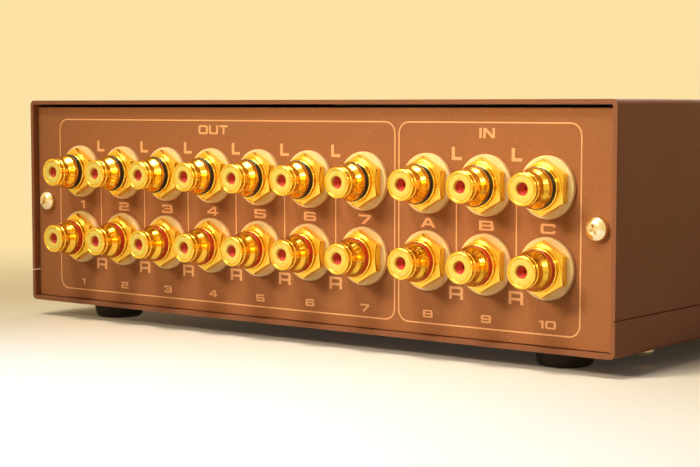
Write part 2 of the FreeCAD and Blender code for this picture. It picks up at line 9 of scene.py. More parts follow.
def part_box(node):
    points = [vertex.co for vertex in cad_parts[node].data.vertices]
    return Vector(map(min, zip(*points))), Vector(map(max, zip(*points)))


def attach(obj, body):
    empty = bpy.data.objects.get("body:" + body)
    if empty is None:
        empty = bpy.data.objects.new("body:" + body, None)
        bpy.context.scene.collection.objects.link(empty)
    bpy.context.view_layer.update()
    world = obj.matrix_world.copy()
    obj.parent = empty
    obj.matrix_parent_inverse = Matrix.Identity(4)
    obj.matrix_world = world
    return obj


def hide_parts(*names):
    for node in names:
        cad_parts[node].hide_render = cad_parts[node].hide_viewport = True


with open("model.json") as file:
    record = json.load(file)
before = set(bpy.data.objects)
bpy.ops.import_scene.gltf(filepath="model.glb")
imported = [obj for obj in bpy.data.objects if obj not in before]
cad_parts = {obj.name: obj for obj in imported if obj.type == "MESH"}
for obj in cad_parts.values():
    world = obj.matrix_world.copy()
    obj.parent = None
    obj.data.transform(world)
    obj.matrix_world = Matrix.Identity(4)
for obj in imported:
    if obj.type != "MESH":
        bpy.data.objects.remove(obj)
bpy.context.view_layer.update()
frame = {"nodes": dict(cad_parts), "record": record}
nodes = frame["nodes"]
record = frame["record"]
print("frame loaded, nodes:", len(nodes))

mm = 0.001  # sizes below are in millimetres


# camera: behind the box and to its right, level with the lid

camera = {
    "place": (-301.975, 429.06, 65.87),
    "yaw": 38.355,  # degrees from -Y towards +X
    "dip": 4.348,
    "lens": 86.15,
    "sensor": 36.0,
    "clip": (0.01, 20.0),  # metres
}


def makeCamera(values):
    data = bpy.data.cameras.new("camera")
    data.lens = values["lens"]
    data.sensor_width = values["sensor"]
    data.clip_start, data.clip_end = values["clip"]
    eye = bpy.data.objects.new("camera", data)
    bpy.context.scene.collection.objects.link(eye)
    yaw = math.radians(values["yaw"])
    dip = math.radians(values["dip"])
    ahead = Vector((math.sin(yaw) * math.cos(dip), -math.cos(yaw) * math.cos(dip), -math.sin(dip)))
    eye.location = Vector(values["place"]) * mm
    eye.rotation_euler = ahead.to_track_quat("-Z", "Y").to_euler()
    bpy.context.scene.camera = eye


makeCamera(camera)
bpy.context.scene.view_settings.view_transform = "Standard"
print("camera placed")


# shader tools: a wire is one output socket, and a sum on it adds a Math node

class Wire:
    def __init__(self, shader, socket):
        self.shader = shader
        self.socket = socket

    def join(self, kind, first, second):
        return self.shader.node("ShaderNodeMath", {"operation": kind}, {0: first, 1: second})

    def __add__(self, other):
        return self.join("ADD", self, other)

    def __radd__(self, other):
        return self.join("ADD", other, self)

    def __sub__(self, other):
        return self.join("SUBTRACT", self, other)

    def __rsub__(self, other):
        return self.join("SUBTRACT", other, self)

    def __mul__(self, other):
        return self.join("MULTIPLY", self, other)

    def __rmul__(self, other):
        return self.join("MULTIPLY", other, self)


class Shader:
    def __init__(self, name, tree=None):
        if tree is None:
            self.material = bpy.data.materials.new(name)
            self.material.use_nodes = True
            tree = self.material.node_tree
        self.tree = tree
        tree.nodes.clear()

    def node(self, kind, settings=None, values=None, out=0):
        made = self.tree.nodes.new(kind)
        for key, value in (settings or {}).items():
            setattr(made, key, value)
        for key, value in (values or {}).items():
            if isinstance(value, Wire):
                self.tree.links.new(value.socket, made.inputs[key])
            else:
                made.inputs[key].default_value = value
        return Wire(self, made.outputs[out]) if made.outputs else None

    def spot(self, middle=(0, 0, 0)):
        place = self.node("ShaderNodeTexCoord", out="Object")
        shift = tuple(-part for part in middle)
        return self.node("ShaderNodeMapping", {}, {"Vector": place, "Location": shift})

    def noise(self, grain, detail=2.0):
        values = {"Vector": self.spot(), "Scale": 1 / (grain * mm), "Detail": detail}
        return self.node("ShaderNodeTexNoise", {}, values)

    def rings(self, middle, pitch):
        settings = {"wave_type": "RINGS", "rings_direction": "Y"}
        values = {"Vector": self.spot(middle), "Scale": 0.1 / (pitch * mm), "Distortion": 0.0}
        return self.node("ShaderNodeTexWave", settings, values, out=1)

    def blend(self, factor, first, second):
        settings = {"data_type": "RGBA", "clamp_factor": True}
        return self.node("ShaderNodeMix", settings, {0: factor, 6: first, 7: second}, out=2)

    def spread(self, value, low, high, toLow=0.0, toHigh=1.0):
        values = {"Value": value, "From Min": low, "From Max": high,
                  "To Min": toLow, "To Max": toHigh}
        return self.node("ShaderNodeMapRange", {"clamp": True}, values)

    def bump(self, height, depth, strength=1.0):
        values = {"Strength": strength, "Distance": depth * mm, "Height": height}
        return self.node("ShaderNodeBump", {}, values)

    def surface(self, values):
        shader = self.node("ShaderNodeBsdfPrincipled", {}, values)
        self.node("ShaderNodeOutputMaterial", {}, {"Surface": shader})
        return self.material


def shade(colour, factor=1.0):
    return tuple(part * factor for part in colour) + (1.0,)


noiseBand = (0.3, 0.7)  # where nearly all values of a noise lie


# powder paint on the folded case and the end panels: grain, flecks and patches are in millimetres

paint = {
    # the case wears the panels' brown paint made darker: painted shade, standing in for the shade
    # that falls on the case's sides
    "shadedCasePaint": (0.31, 0.106, 0.038),
    "panelPaint": (0.40, 0.136, 0.037),
    "grain": 0.55,
    "grainDepth": 0.03,
    "grainShare": 0.30,
    "grainShade": 0.74,
    "fleck": 0.42,
    "fleckLevel": (0.78, 0.84),  # of the noise, from the edge of a fleck to its middle
    "fleckShare": 0.55,
    "fleckShade": 2.2,
    "patch": 22.0,
    "patchShade": (0.90, 1.10),
    "rough": 0.72,
    "roughSpread": (-0.06, 0.08),
    "gloss": 0.35,
}


def paintMaterial(name, values):
    colour = values[name]
    m = Shader(name)
    grain = m.noise(values["grain"], detail=3.0)
    patch = m.noise(values["patch"], detail=2.0)
    fleck = m.spread(m.noise(values["fleck"], detail=0.0), *values["fleckLevel"])
    dark, light = values["patchShade"]
    base = m.blend(patch, shade(colour, dark), shade(colour, light))
    pits = m.spread(grain, *noiseBand) * values["grainShare"]
    base = m.blend(pits, base, shade(colour, values["grainShade"]))
    base = m.blend(fleck * values["fleckShare"], base, shade(colour, values["fleckShade"]))
    smooth, coarse = (values["rough"] + step for step in values["roughSpread"])
    rough = m.spread(patch + grain * 0.5, 0.5, 1.0, smooth, coarse)
    return m.surface({"Base Color": base, "Roughness": rough, "Specular IOR Level": values["gloss"],
                      "Normal": m.bump(grain, values["grainDepth"], strength=0.6)})


# plated and bare metals: colour, roughness, depth of the fine marks

metals = {
    "socketGold": ((1.0, 0.64, 0.08), 0.18, 0.0),
    "contactGold": ((1.0, 0.28, 0.06), 0.34, 0.0),
    "nutGold": ((0.90, 0.52, 0.12), 0.25, 0.004),
    "screwSteel": ((0.95, 0.80, 0.52), 0.24, 0.004),
    "bracketSteel": ((0.60, 0.58, 0.53), 0.34, 0.004),
    "tagTin": ((0.70, 0.67, 0.60), 0.30, 0.004),
    "switchZinc": ((0.60, 0.58, 0.54), 0.32, 0.006),
    "clipTin": ((0.74, 0.70, 0.60), 0.26, 0.003),
    "shaftBrass": ((0.80, 0.68, 0.42), 0.28, 0.006),
    "busCopper": ((0.72, 0.58, 0.44), 0.30, 0.004),
    "blackSteel": ((0.09, 0.085, 0.08), 0.38, 0.003),
}


metalMarks = {
    "haze": 5.0,
    "hazeShade": 0.93,
    "fine": 0.22,
    "fineShare": 0.1,
    "sheen": (0.8, 1.25),  # times the metal's own roughness
}


def metalMaterial(name, colour, rough, depth, marks):
    m = Shader(name)
    haze = m.noise(marks["haze"], detail=4.0)
    fine = m.noise(marks["fine"], detail=2.0)
    base = m.blend(haze, shade(colour, marks["hazeShade"]), shade(colour))
    mixed = haze * (1 - marks["fineShare"]) + fine * marks["fineShare"]
    smooth, coarse = (rough * factor for factor in marks["sheen"])
    sheen = m.spread(mixed, *noiseBand, smooth, coarse)
    values = {"Base Color": base, "Metallic": 1.0, "Roughness": sheen}
    if depth:
        values["Normal"] = m.bump(fine, depth, strength=0.5)
    return m.surface(values)


# plastics, rubber and ink: colour, roughness, share of light that scatters under the skin,
# depth of the moulded grain

plastics = {
    "ringBlack": ((0.014, 0.006, 0.004), 0.32, 0.0, 0.002),
    "ringRed": ((0.72, 0.045, 0.012), 0.25, 0.1, 0.002),
    "insertCream": ((1.0, 0.69, 0.11), 0.35, 0.4, 0.003),
    "contactRed": ((0.60, 0.028, 0.004), 0.55, 0.0, 0.002),
    "washerNylon": ((1.0, 0.67, 0.30), 0.40, 0.5, 0.004),
    "footRubber": ((0.030, 0.020, 0.014), 0.75, 0.0, 0.02),
    "waferBoard": ((0.42, 0.24, 0.10), 0.50, 0.0, 0.006),
    "rotorPlastic": ((0.70, 0.62, 0.48), 0.42, 0.15, 0.004),
    "cableSheath": ((0.045, 0.045, 0.050), 0.50, 0.0, 0.01),
    "printInk": ((0.95, 0.45, 0.17), 0.55, 0.0, 0.004),
    "pointerInk": ((0.88, 0.84, 0.76), 0.50, 0.0, 0.004),
}


plasticMarks = {
    "cloud": 3.0,
    "cloudShade": (0.93, 1.04),
    "fine": 0.2,
    "sheen": (0.85, 1.15),  # times the plastic's own roughness
    "scatter": (1.0, 0.5, 0.2),  # of red, green and blue light
    "scatterReach": 1.0,
}


def plasticMaterial(name, colour, rough, glow, depth, marks):
    m = Shader(name)
    cloud = m.noise(marks["cloud"], detail=3.0)
    fine = m.noise(marks["fine"], detail=1.0)
    dark, light = marks["cloudShade"]
    base = m.blend(cloud, shade(colour, dark), shade(colour, light))
    smooth, coarse = (rough * factor for factor in marks["sheen"])
    sheen = m.spread(fine, *noiseBand, smooth, coarse)
    values = {"Base Color": base, "Roughness": sheen, "Normal": m.bump(fine, depth, strength=0.4)}
    if glow:
        values["Subsurface Weight"] = glow
        values["Subsurface Radius"] = marks["scatter"]
        values["Subsurface Scale"] = marks["scatterReach"] * mm
    return m.surface(values)


# knob metal is faced on a lathe, so it has fine rings round each knob's own axis

knobMetal = {
    "colour": (0.80, 0.70, 0.54),
    "rough": 0.30,
    "pitch": 0.16,
    "depth": 0.006,
    "haze": 4.0,
    "hazeShade": 0.92,
    "level": (0.2, 0.8),
    "sheen": (0.8, 1.25),
}


def knobMaterial(name, middle, values):
    m = Shader(name)
    rings = m.rings(middle, values["pitch"])
    haze = m.noise(values["haze"], detail=3.0)
    base = m.blend(haze, shade(values["colour"], values["hazeShade"]), shade(values["colour"]))
    smooth, coarse = (values["rough"] * factor for factor in values["sheen"])
    sheen = m.spread(rings * 0.5 + haze * 0.5, *values["level"], smooth, coarse)
    return m.surface({"Base Color": base, "Metallic": 1.0, "Roughness": sheen,
                      "Normal": m.bump(rings, values["depth"], strength=0.5)})


finishes = {name: paintMaterial(name, paint) for name in ("shadedCasePaint", "panelPaint")}
for name, values in metals.items():
    finishes[name] = metalMaterial(name, *values, metalMarks)
for name, values in plastics.items():
    finishes[name] = plasticMaterial(name, *values, plasticMarks)

finishOfSlot = {
    "case_paint": "shadedCasePaint",
    "panel_paint": "panelPaint",
    "bracket_steel": "bracketSteel",
    "foot_rubber": "footRubber",
    "screw_steel": "screwSteel",
    "socket_gold": "socketGold",
    "contact_gold": "contactGold",
    "ring_black": "ringBlack",
    "ring_red": "ringRed",
    "socket_plastic": "insertCream",
    "washer_nylon": "washerNylon",
    "tag_metal": "tagTin",
    "nut_gold": "nutGold",
    "switch_metal": "switchZinc",
    "wafer_board": "waferBoard",
    "clip_metal": "clipTin",
    "spacer_metal": "clipTin",
    "rotor_plastic": "rotorPlastic",
    "shaft_metal": "shaftBrass",
    "knob_metal": "shaftBrass",
    "set_screw_steel": "blackSteel",
    "cable_sheath": "cableSheath",
    "bus_metal": "busCopper",
}

slotOfNode = {part["node"]: part["material_slot"] for part in record["subparts"]}
for name, item in nodes.items():
    finish = finishes[finishOfSlot[slotOfNode[name]]]
    if not item.material_slots:
        item.data.materials.append(finish)
    for place in item.material_slots:
        place.material = finish
print("finishes made:", len(finishes))


# mesh tools

onAxis = 1e-9  # metres, as the next value is
weld = 1e-7
roundSteps = 4


def lathe(outline, steps=72):
    # outline: (radius, along, rounding) corners, a closed loop spun round the Y axis
    bm = bmesh.new()
    corners = [bm.verts.new((corner[0] * mm, corner[1] * mm, 0)) for corner in outline]
    for first, second in zip(corners, corners[1:] + corners[:1]):
        if first.co.x > onAxis or second.co.x > onAxis:
            bm.edges.new((first, second))
    roundCorners(bm, corners, outline)
    bmesh.ops.spin(bm, geom=bm.verts[:] + bm.edges[:], cent=(0, 0, 0), axis=(0, 1, 0),
                   dvec=(0, 0, 0), angle=math.tau, steps=steps, use_merge=True, use_duplicate=False)
    bmesh.ops.remove_doubles(bm, verts=bm.verts, dist=weld)
    bmesh.ops.recalc_face_normals(bm, faces=bm.faces)
    return bm


def roundCorners(bm, corners, outline):
    for corner, values in zip(corners, outline):
        if len(values) > 2 and values[2] > 0:
            bmesh.ops.bevel(bm, geom=[corner], offset=values[2] * mm, offset_type="OFFSET",
                            segments=roundSteps, profile=0.5, affect="VERTICES", material=-1)


def gather(part, places):
    # one mesh from copies of a part, each moved by a vector or a matrix
    mesh = bpy.data.meshes.new("part")
    part.to_mesh(mesh)
    part.free()
    whole = bmesh.new()
    for place in places:
        matrix = place if isinstance(place, Matrix) else Matrix.Translation(place)
        before = len(whole.verts)
        whole.from_mesh(mesh)
        bmesh.ops.transform(whole, matrix=matrix, verts=whole.verts[before:])
    bpy.data.meshes.remove(mesh)
    return whole


def makePiece(name, bm, finish, body, stands=(), sharp=32):
    mesh = bpy.data.meshes.new(name)
    bm.to_mesh(mesh)
    bm.free()
    mesh.shade_smooth()
    mesh.set_sharp_from_angle(angle=math.radians(sharp))
    mesh.materials.append(finish)
    piece = bpy.data.objects.new(name, mesh)
    bpy.context.scene.collection.objects.link(piece)
    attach(piece, body)
    if stands:
        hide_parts(*stands)


# phono sockets: distances along run outwards from the face of the rear panel

socket = {
    "shell": [
        (3.3, -8.5), (3.3, 12.5, 0.25), (4.15, 12.5, 0.45), (4.15, 11.45, 0.12),
        (3.92, 11.3, 0.08), (3.92, 10.95, 0.08), (4.12, 10.75, 0.1), (4.12, 9.3, 0.6),
        (5.1, 7.3, 0.5), (5.1, 6.22, 0.15), (4.42, 6.2), (4.42, 5.0), (5.5, 5.0, 0.35),
        (5.5, 3.7, 0.15), (5.75, 3.6, 0.06), (6.1, 3.6, 0.1), (7.2, 2.95), (7.2, 1.2), (3.9, 1.2),
        (3.9, -8.5),
    ],
    "acrossFlats": 12.3,
    "shellSteps": 96,
    "ring": [(4.42, 5.0), (5.25, 5.03, 0.15), (5.25, 6.17, 0.15), (4.42, 6.2)],
    "insert": [(1.65, 11.4), (1.65, 12.3, 0.35), (3.28, 12.3, 0.08), (3.28, -8.5), (2.1, -8.5),
               (2.1, 11.4)],
    "insertSteps": 64,
    "cup": [(1.64, 11.38), (1.64, 9.0), (1.5, 9.0), (0.4, 10.1), (0.3, 10.3, 0.05),
            (1.55, 11.38, 0.03)],  # the bottom of the centre hole
    "cupSteps": 48,
    "washer": [(4.0, -1.3), (4.0, 1.2), (7.9, 1.2, 0.35), (7.9, 0.0, 0.1), (4.5, 0.0), (4.5, -1.3)],
}

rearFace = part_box("rear_panel")[1].y


def socketPlaces(*words):
    places = []
    for mount in record["mounts"]:
        parts = mount["name"].split("_")
        if parts[-1] == "barrel" and all(word in parts for word in words):
            x, _, z = mount["pos_m"]
            places.append(Vector((x, rearFace, z)))
    return places


def shellShape(values):
    bm = lathe(values["shell"], values["shellSteps"])
    for side in range(6):  # six flats milled on the flange, a corner at the top
        angle = math.radians(60 * side)
        normal = Vector((math.cos(angle), 0, math.sin(angle)))
        flat = normal * values["acrossFlats"] / 2 * mm
        cut = bmesh.ops.bisect_plane(bm, geom=bm.verts[:] + bm.edges[:] + bm.faces[:], dist=weld,
                                     plane_co=flat, plane_no=normal, clear_outer=True)
        rim = [part for part in cut["geom_cut"] if isinstance(part, bmesh.types.BMEdge)]
        bmesh.ops.contextual_create(bm, geom=rim)
    bmesh.ops.recalc_face_normals(bm, faces=bm.faces)
    return bm


for group in ("output", "input"):
    for side in ("left", "right"):
        node = group + "_shells_" + side
        shells = gather(shellShape(socket), socketPlaces(group, side))
        makePiece(group + "_barrels_" + side, shells, finishes["socketGold"], "case",
                  [node], sharp=28)
for side, colour, node in (("left", "ringBlack", "black_rings"), ("right", "ringRed", "red_rings")):
    rings = gather(lathe(socket["ring"]), socketPlaces(side))
    makePiece("colour_rings_" + side, rings, finishes[colour], "case", [node])
washers = gather(lathe(socket["washer"]), socketPlaces())
makePiece("shoulder_washers", washers, finishes["washerNylon"], "case",
          ["outer_washers"])
inserts = gather(lathe(socket["insert"], socket["insertSteps"]), socketPlaces())
makePiece("socket_inserts", inserts, finishes["insertCream"], "case",
          ["socket_insulators"])
cups = gather(lathe(socket["cup"], socket["cupSteps"]), socketPlaces())
makePiece("contact_cups", cups, finishes["contactRed"], "case")
print("socket pieces made")


# pan head screws with a cross recess: distances along run outwards from under the head

screw = {
    "length": 6.0,
    "headRadius": 3.1,
    "headHigh": 2.1,
    "outline": [(0, -6.0), (1.5, -6.0, 0.25), (1.5, 0), (3.1, 0, 0.1), (3.1, 1.25, 0.65),
                (1.6, 2.02, 0.5), (0, 2.1)],
    "steps": 48,
    "recessLong": 3.6,
    "recessWide": 0.85,
    "recessDeep": 1.1,
    "bottomLong": 0.5,  # share of the recess's length that is left at its bottom
    "bottomWide": 0.6,
    "turns": {"rear_panel_screws": (20, 65), "front_panel_screws": (50, 10),
              "underside_screws": (35, 70, 5, 50)},
}


def crossCutter(values, turn):
    bm = bmesh.new()
    for quarter in (0, 90):
        made = bmesh.ops.create_cube(bm, size=1.0)
        across, deep = values["recessWide"] * mm, values["recessDeep"] * mm
        bmesh.ops.scale(bm, vec=(values["recessLong"] * mm, 2 * deep, across), verts=made["verts"])
        for vert in made["verts"]:  # the cross narrows towards its bottom
            if vert.co.y < 0:
                vert.co.x *= values["bottomLong"]
                vert.co.z *= values["bottomWide"]
        raised = Matrix.Translation((0, values["headHigh"] * mm, 0))
        matrix = raised @ Matrix.Rotation(math.radians(turn + quarter), 4, "Y")
        bmesh.ops.transform(bm, matrix=matrix, verts=made["verts"])
    return bm


def carve(base, cutter):
    # a bmesh less another, through a Boolean modifier
    items = []
    for name, bm in (("carveBase", base), ("carveCutter", cutter)):
        mesh = bpy.data.meshes.new(name)
        bm.to_mesh(mesh)
        bm.free()
        items.append(bpy.data.objects.new(name, mesh))
        bpy.context.scene.collection.objects.link(items[-1])
    modifier = items[0].modifiers.new("recess", "BOOLEAN")
    modifier.operation = "DIFFERENCE"
    modifier.object = items[1]
    modifier.solver = "EXACT"
    modifier.use_self = True
    bpy.context.view_layer.update()
    done = items[0].evaluated_get(bpy.context.evaluated_depsgraph_get())
    result = bmesh.new()
    result.from_mesh(done.data)
    for item in items:
        mesh = item.data
        bpy.data.objects.remove(item)
        bpy.data.meshes.remove(mesh)
    return result


def screwShape(values, turn):
    return carve(lathe(values["outline"], values["steps"]), crossCutter(values, turn))


def screwPlaces(values, node):
    # middles of the screws in a CAD node, found from the spread of its box
    low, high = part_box(node)
    radius, length = values["headRadius"] * mm, values["length"] * mm
    xs = (low.x + radius, high.x - radius)
    if node == "underside_screws":
        down = Matrix.Rotation(math.radians(-90), 4, "X")
        spots = [(x, y, high.z - length) for x in xs for y in (low.y + radius, high.y - radius)]
        return [Matrix.Translation(spot) @ down for spot in spots]
    z = (low.z + high.z) / 2
    if node == "rear_panel_screws":
        return [Matrix.Translation((x, low.y + length, z)) for x in xs]
    forward = Matrix.Rotation(math.pi, 4, "Z")
    return [Matrix.Translation((x, high.y - length, z)) @ forward for x in xs]


def joinMeshes(parts):
    whole = bmesh.new()
    for part in parts:
        mesh = bpy.data.meshes.new("part")
        part.to_mesh(mesh)
        part.free()
        whole.from_mesh(mesh)
        bpy.data.meshes.remove(mesh)
    return whole


for node, turns in screw["turns"].items():
    parts = [gather(screwShape(screw, turn), [place])
             for turn, place in zip(turns, screwPlaces(screw, node))]
    makePiece(node.replace("screws", "cross_screws"), joinMeshes(parts), finishes["screwSteel"],
              "case", [node], sharp=40)
print("screws made")


# knobs, turned round the Y axis: distances along run back from the front of the knob

knob = {
    "outline": [
        (0, 0), (14.0, 0, 0.2), (15.0, 1.0, 0.2), (15.0, 15.2, 0.15), (14.2, 16.0, 0.1),
        (8.5, 16.0, 0.2), (8.5, 11.0, 0.3), (3.02, 11.0, 0.1), (3.02, 3.0, 0.2), (0, 3.0),
    ],
    "steps": 128,
    "pointer": (1.2, 0.4, 7.0),  # wide, deep, long
    "pointerTop": 14.0,
    "pointerGap": 0.04,  # between the pointer's sides and its slot, both sides together
    "pointerUnder": 0.05,  # from the face of the knob to the pointer
    "pointerLift": 0.01,  # from the bottom of the slot to the pointer
    "pointerEdge": 0.03,
    "hole": 1.5,
    "holeBack": 7.5,
    "holeLong": 13.0,
    "holeMiddle": -9.0,
    "holeSteps": 32,
}


def knobCutter(values):
    bm = bmesh.new()
    wide, deep, tall = values["pointer"]
    slot = bmesh.ops.create_cube(bm, size=1.0)["verts"]
    bmesh.ops.scale(bm, vec=(wide * mm, 2 * deep * mm, tall * mm), verts=slot)
    bmesh.ops.translate(bm, vec=(0, 0, (values["pointerTop"] - tall / 2) * mm), verts=slot)
    radius = values["hole"] * mm
    hole = bmesh.ops.create_cone(bm, cap_ends=True, segments=values["holeSteps"], radius1=radius,
                                 radius2=radius, depth=values["holeLong"] * mm)["verts"]
    bmesh.ops.translate(bm, vec=(0, values["holeBack"] * mm, values["holeMiddle"] * mm), verts=hole)
    return bm


def pointerShape(values):
    bm = bmesh.new()
    wide, deep, tall = values["pointer"]
    gap, under, lift = values["pointerGap"], values["pointerUnder"], values["pointerLift"]
    strip = bmesh.ops.create_cube(bm, size=1.0)["verts"]
    bmesh.ops.scale(bm, vec=((wide - gap) * mm, (deep - under - lift) * mm, (tall - gap) * mm),
                    verts=strip)
    middle = (0, (under + deep - lift) / 2 * mm, (values["pointerTop"] - tall / 2) * mm)
    bmesh.ops.translate(bm, vec=middle, verts=strip)
    bmesh.ops.bevel(bm, geom=bm.edges[:], offset=values["pointerEdge"] * mm, offset_type="OFFSET",
                    segments=2, profile=0.5, affect="EDGES", material=-1)
    return bm


for group in ("input", "output"):
    low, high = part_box(group + "_knob")
    middle = (low + high) / 2
    place = Vector((middle.x, low.y, middle.z))
    metal = knobMaterial(group + "KnobMetal", (middle.x, middle.y, middle.z), knobMetal)
    turned = carve(lathe(knob["outline"], knob["steps"]), knobCutter(knob))
    makePiece(group + "_turned_knob", gather(turned, [place]), metal, group + "_selector",
              [group + "_knob"])
    makePiece(group + "_pointer", gather(pointerShape(knob), [place]), finishes["pointerInk"],
              group + "_selector")
print("knobs made")


# print on the panels: outlines of plain letters and digits, ten units high

def box(left, low, right, top, rounding=0.0):
    corners = ((left, low), (left, top), (right, top), (right, low))
    return [(x, y, rounding) for x, y in corners]


glyphHigh = 10
inkSink = 0.02  # how far the ink reaches into the paint

six = [[(0, 0, 2.4), (0, 10, 2.4), (12.6, 10, 2.2), (12.6, 7.2), (10, 7.2), (10, 7.9, 0.3),
        (2.6, 7.9, 0.8), (2.6, 6.1), (12.9, 6.1, 2.2), (12.9, 0, 2.4)],
       box(2.6, 2.1, 10.3, 4.1, 0.7)]
glyphs = {
    "0": [box(0, 0, 12.9, 10, 2.6), box(2.6, 2.1, 10.3, 7.9, 1.0)],
    "1": [[(3.4, 0), (3.4, 7.4), (0, 7.4), (0, 8.3), (2.8, 10), (6, 10), (6, 0)]],
    "2": [[(0, 0), (0, 6.1, 2.0), (10, 6.1, 0.6), (10, 7.9, 0.6), (2.6, 7.9), (2.6, 7.2), (0, 7.2),
           (0, 10, 2.2), (12.6, 10, 2.2), (12.6, 4.1, 2.2), (2.6, 4.1, 0.6), (2.6, 2.1),
           (12.8, 2.1), (12.8, 0)]],
    "3": [[(0, 0, 2.2), (0, 2.9), (2.6, 2.9), (2.6, 2.1, 0.3), (10.2, 2.1, 0.6), (10.2, 4.2, 0.6),
           (3.5, 4.2), (3.5, 6.0), (9.8, 6.0, 0.6), (9.8, 7.9, 0.6), (2.6, 7.9, 0.3), (2.6, 7.2),
           (0, 7.2), (0, 10, 2.2), (12.4, 10, 2.2), (12.4, 5.4, 0.7), (12.9, 5.0, 0.3),
           (12.9, 0, 2.2)]],
    "4": [[(8, 0), (8, 2.2), (0, 2.2), (0, 4.2), (7.2, 10), (10.5, 10), (10.5, 4.2), (12.8, 4.2),
           (12.8, 2.2), (10.5, 2.2), (10.5, 0)], [(2.9, 4.2), (8, 4.2), (8, 8.2)]],
    "5": [[(0, 0, 2.2), (0, 2.9), (2.6, 2.9), (2.6, 2.1, 0.3), (10.2, 2.1, 0.6), (10.2, 4.2, 0.6),
           (0, 4.2), (0, 10), (12.4, 10), (12.4, 7.9), (2.6, 7.9), (2.6, 6.2), (12.8, 6.2, 2.2),
           (12.8, 0, 2.2)]],
    "6": six,
    "7": [[(0, 7.9), (0, 10), (12.4, 10), (12.4, 7.4), (5.8, 0), (2.7, 0), (9.4, 7.9)]],
    "8": [box(0, 0, 12.9, 10, 2.4), box(2.6, 5.9, 10.3, 8.0, 0.7), box(2.6, 2.0, 10.3, 4.1, 0.7)],
    "9": [[(12.9 - x, glyphHigh - y, *rounding) for x, y, *rounding in loop] for loop in six],
    "A": [[(0, 0), (5.4, 10), (8.8, 10), (14.2, 0), (11.2, 0), (10.1, 2.2), (4.1, 2.2), (3, 0)],
          [(5.1, 4.2), (9.1, 4.2), (7.1, 8.0)]],
    "B": [[(0, 0), (0, 10), (12.7, 10, 2.2), (12.7, 5.4, 0.6), (13.3, 4.9, 0.3), (13.3, 0, 2.2)],
          [(2.5, 6.0), (2.5, 8.0), (10.1, 8.0, 0.7), (10.1, 6.0, 0.7)],
          [(2.5, 2.0), (2.5, 4.1), (10.6, 4.1, 0.7), (10.6, 2.0, 0.7)]],
    "C": [[(13, 6.9), (13, 10, 2.4), (0, 10, 2.4), (0, 0, 2.4), (13, 0, 2.4), (13, 3.1),
           (10.4, 3.1), (10.4, 2.1, 0.4), (2.6, 2.1, 0.8), (2.6, 7.9, 0.8), (10.4, 7.9, 0.4),
           (10.4, 6.9)]],
    "I": [box(0, 0, 2.7, 10)],
    "L": [[(0, 0), (0, 10), (2.8, 10), (2.8, 2.4), (9.2, 2.4), (9.2, 0)]],
    "N": [[(0, 0), (0, 10), (3.2, 10), (10.8, 3.2), (10.8, 10), (13.4, 10), (13.4, 0), (10.2, 0),
           (2.6, 6.8), (2.6, 0)]],
    "O": [box(0, 0, 14, 10, 2.6), box(2.7, 2.1, 11.3, 7.9, 1.0)],
    "R": [[(0, 0), (0, 10), (13, 10, 2.3), (13, 4.1, 0.9), (12.3, 3.6, 0.2), (13, 3.1, 0.4),
           (13, 0), (10.4, 0), (10.4, 3, 0.6), (2.5, 3), (2.5, 0)],
          [(2.5, 5.0), (2.5, 7.9), (10.4, 7.9, 0.7), (10.4, 5.0, 0.7)]],
    "T": [[(5, 0), (5, 7.9), (0, 7.9), (0, 10), (12.6, 10), (12.6, 7.9), (7.6, 7.9), (7.6, 0)]],
    "U": [[(0, 10), (0, 0, 2.6), (13.6, 0, 2.6), (13.6, 10), (10.9, 10), (10.9, 2.1, 1.0),
           (2.7, 2.1, 1.0), (2.7, 10)]],
}

rearPrint = {
    "ink": 0.04,  # how far the ink stands off the paint
    "line": 0.38,
    "corner": 3.2,
    "frames": ((67.07, 197.6), (10.5, 66.09)),  # from the right edge of the case, seen from behind
    "frameLow": 4.12,
    "frameTop": 56.95,
    "dividers": (179.15, 160.54, 142.58, 123.72, 105.51, 87.26, 47.46, 29.24),
    "dividerLow": 20.8,
    "dividerTop": 40.9,
    "sideHigh": 3.35,
    "leftLow": 47.1,
    "rightLow": 11.2,
    "wordHigh": 2.6,
    "words": (("OUT", 132.5, 52.8), ("IN", 38.2, 52.8)),
    "digitHigh": 2.5,
    "digitWide": 1.35,
    "digitLow": 29.4,
    "smallHigh": 2.0,
    "smallWide": 1.2,
    "smallLow": 5.8,
}


def cutInk(bm, loops, thick, scale=(1.0, 1.0), shift=(0, 0)):
    # flat shapes from nested outlines, in the XY plane, then thickened upwards
    rim = []
    for loop in loops:
        spots = [(x * scale[0] + shift[0], y * scale[1] + shift[1]) for x, y, *_ in loop]
        corners = [bm.verts.new((x * mm, y * mm, 0)) for x, y in spots]
        for first, second in zip(corners, corners[1:] + corners[:1]):
            bm.edges.new((first, second))
        rounded = [(0, 0, corner[2] * scale[1]) if len(corner) > 2 else (0, 0) for corner in loop]
        known = set(bm.verts) - set(corners)
        roundCorners(bm, corners, rounded)
        rim += [edge for edge in bm.edges if not known & set(edge.verts)
                and not edge.link_faces and edge not in rim]
    made = bmesh.ops.triangle_fill(bm, use_beauty=True, use_dissolve=False, edges=rim)
    faces = [part for part in made["geom"] if isinstance(part, bmesh.types.BMFace)]
    grown = bmesh.ops.extrude_face_region(bm, geom=faces)
    top = [part for part in grown["geom"] if isinstance(part, bmesh.types.BMVert)]
    bmesh.ops.translate(bm, vec=(0, 0, thick * mm), verts=top)


def writeWord(bm, word, middle, low, high, thick, wide=1.0, gap=1.9):
    scale = (high / glyphHigh * wide, high / glyphHigh)
    widths = [max(corner[0] for loop in glyphs[sign] for corner in loop) for sign in word]
    across = middle - (sum(widths) + gap * (len(word) - 1)) * scale[0] / 2
    for sign, width in zip(word, widths):
        cutInk(bm, glyphs[sign], thick, scale, (across, low))
        across += (width + gap) * scale[0]


